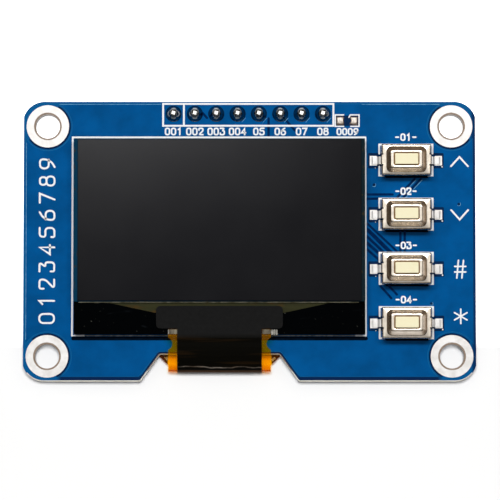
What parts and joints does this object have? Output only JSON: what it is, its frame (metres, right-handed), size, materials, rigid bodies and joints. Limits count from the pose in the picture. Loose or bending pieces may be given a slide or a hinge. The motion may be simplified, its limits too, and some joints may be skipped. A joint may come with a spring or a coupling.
{
  "type": "oled display module",
  "caption": "Small OLED display panel on a blue circuit board with key switches, a pin header and corner mounting holes.",
  "frame": {"origin": "centre of the four mounting holes, on the board's underside", "axes": "+X along the board's long side, to the right seen from the display; +Y towards the header's edge; +Z out of the display"},
  "size_m": [0.0538, 0.0334, 0.0126],
  "materials": {
    "board": "blue solder mask, satin gloss, glass-fibre edges",
    "tinned": "hot tinned, slightly uneven",
    "solder": "bright solder",
    "foam": "black closed-cell foam with adhesive",
    "panel_glass": "display glass with a dark metal film behind it",
    "polariser": "dark film, soft sheen",
    "silicon": "polished",
    "amber_film": "translucent polyimide film",
    "black_tape": "matte tape",
    "black_plastic": "moulded",
    "pin_metal": "tin plated",
    "cover_steel": "stamped, bright",
    "dome_steel": "spring steel",
    "cream_plastic": "moulded, satin",
    "ceramic": "ceramic body with tinned ends",
    "resistor": "black coat, tinned ends"
  },
  "bodies": {
    "module": {"pcb": "board", "mounting_rings": "tinned", "foam_pad": "foam", "back_glass": "panel_glass", "front_glass": "panel_glass", "polariser": "polariser", "driver_chip": "silicon", "flex_tail": "amber_film", "flex_tape": "black_tape", "flex_solder": "solder", "header_strip": "black_plastic", "header_pins": "pin_metal", "header_solder": "solder", "jumper_pads": "solder", "key_solder": "solder", "key1_body": "black_plastic", "key1_cover": "cover_steel", "key1_terminals": "tinned", "key1_dome": "dome_steel", "key2_body": "black_plastic", "key2_cover": "cover_steel", "key2_terminals": "tinned", "key2_dome": "dome_steel", "key3_body": "black_plastic", "key3_cover": "cover_steel", "key3_terminals": "tinned", "key3_dome": "dome_steel", "key4_body": "black_plastic", "key4_cover": "cover_steel", "key4_terminals": "tinned", "key4_dome": "dome_steel", "capacitor1": "ceramic", "capacitor2": "ceramic", "capacitor3": "ceramic", "capacitor4": "ceramic", "capacitor5": "ceramic", "resistor1": "resistor", "resistor2": "resistor", "resistor3": "resistor", "resistor4": "resistor", "regulator_body": "black_plastic", "regulator_legs": "tinned", "chip_solder": "solder"},
    "key1_button": {"key1_plunger": "cream_plastic"},
    "key2_button": {"key2_plunger": "cream_plastic"},
    "key3_button": {"key3_plunger": "cream_plastic"},
    "key4_button": {"key4_plunger": "cream_plastic"}
  },
  "joints": [
    {"name": "key1_press", "type": "slide", "parent": "module", "child": "key1_button", "axis": [0, 0, -1], "range_m": [0, 0.00025], "stiffness_N_per_m": 5000, "springref_m": -0.00005, "deforming": ["key1_dome"]},
    {"name": "key2_press", "type": "slide", "parent": "module", "child": "key2_button", "axis": [0, 0, -1], "range_m": [0, 0.00025], "stiffness_N_per_m": 5000, "springref_m": -0.00005, "deforming": ["key2_dome"]},
    {"name": "key3_press", "type": "slide", "parent": "module", "child": "key3_button", "axis": [0, 0, -1], "range_m": [0, 0.00025], "stiffness_N_per_m": 5000, "springref_m": -0.00005, "deforming": ["key3_dome"]},
    {"name": "key4_press", "type": "slide", "parent": "module", "child": "key4_button", "axis": [0, 0, -1], "range_m": [0, 0.00025], "stiffness_N_per_m": 5000, "springref_m": -0.00005, "deforming": ["key4_dome"]}
  ]
}
